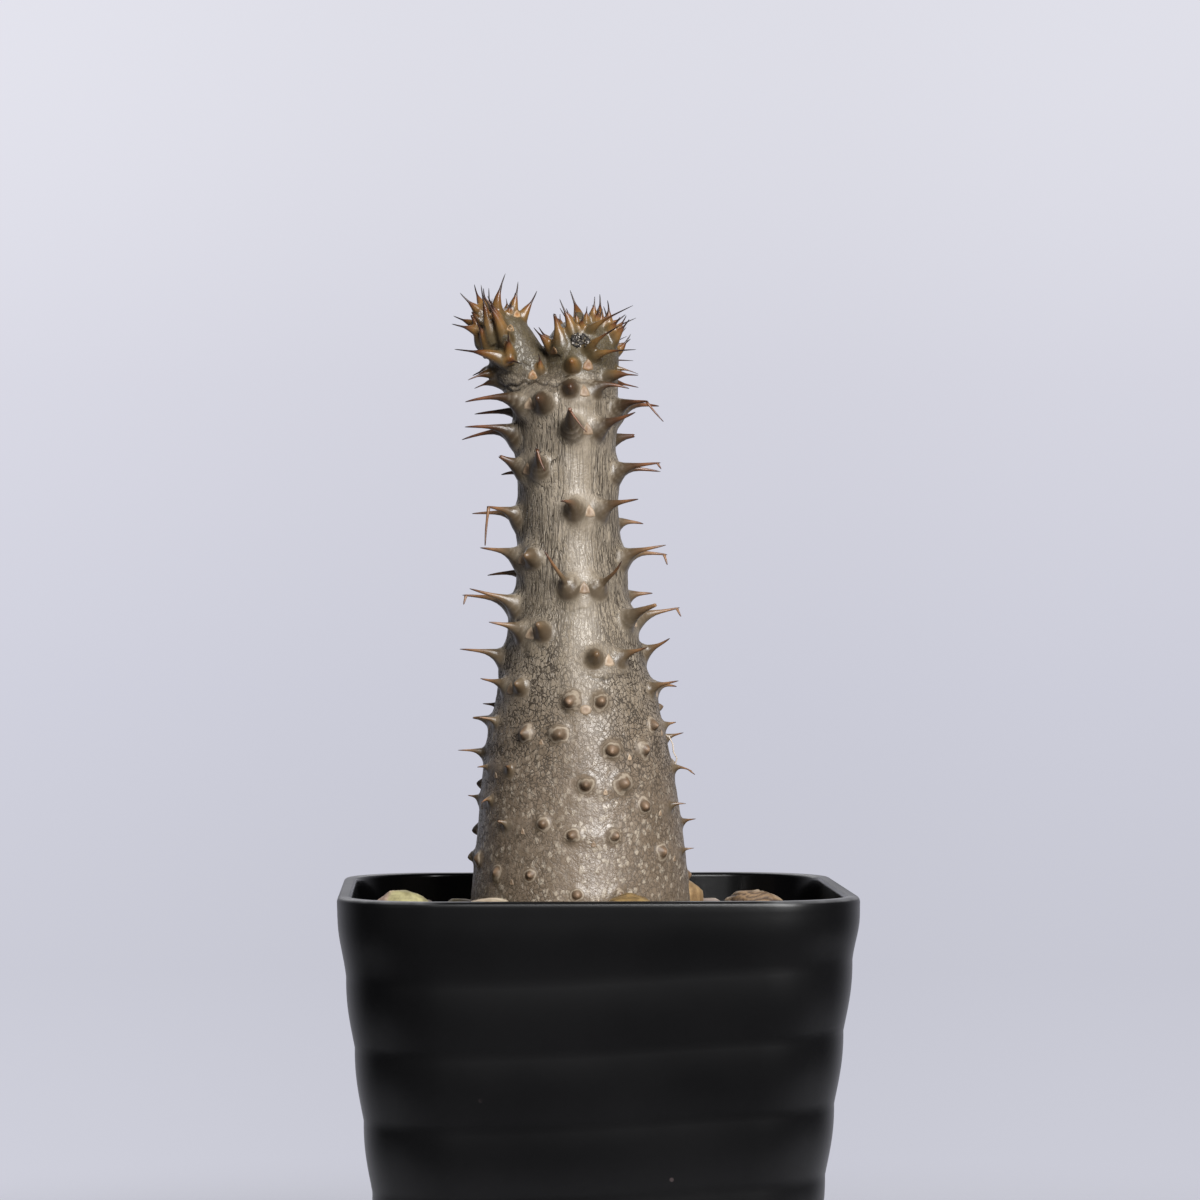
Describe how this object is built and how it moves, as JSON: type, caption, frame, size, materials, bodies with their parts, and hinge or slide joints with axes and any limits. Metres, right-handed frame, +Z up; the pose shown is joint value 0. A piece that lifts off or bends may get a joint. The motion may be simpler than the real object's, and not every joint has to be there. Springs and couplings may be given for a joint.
{
  "type": "potted pachypodium",
  "caption": "Swollen thorny succulent stem forking into two short crowns, standing in a square black ceramic pot with pale stones.",
  "frame": {"origin": "middle of the pot's foot, on the plane it stands on", "axes": "+Z up, -Y towards the viewer of the picture, +X to the viewer's right"},
  "size_m": [0.1199, 0.1198, 0.2602],
  "materials": {
    "black_ceramic": "satin",
    "black_net": "matte",
    "pumice": "matte",
    "soil": "matte",
    "bark": "satin",
    "pebble": "matte"
  },
  "bodies": {
    "root": {"drainage_gravel": "pumice", "drainage_mesh": "black_net", "plant": "bark", "pot": "black_ceramic", "soil": "soil", "stone_01": "pebble", "stone_02": "pebble", "stone_03": "pebble", "stone_04": "pebble", "stone_05": "pebble", "stone_06": "pebble", "stone_07": "pebble", "stone_08": "pebble", "stone_09": "pebble", "stone_10": "pebble", "stone_11": "pebble", "stone_12": "pebble", "stone_13": "pebble", "stone_14": "pebble", "stone_15": "pebble", "stone_16": "pebble", "stone_17": "pebble", "stone_18": "pebble", "stone_19": "pebble", "stone_20": "pebble", "stone_21": "pebble", "stone_22": "pebble", "stone_23": "pebble", "stone_24": "pebble", "stone_25": "pebble", "stone_26": "pebble", "stone_27": "pebble", "stone_28": "pebble", "stone_29": "pebble", "stone_30": "pebble", "stone_31": "pebble", "stone_32": "pebble", "stone_33": "pebble", "stone_34": "pebble", "stone_35": "pebble"}
  },
  "joints": []
}
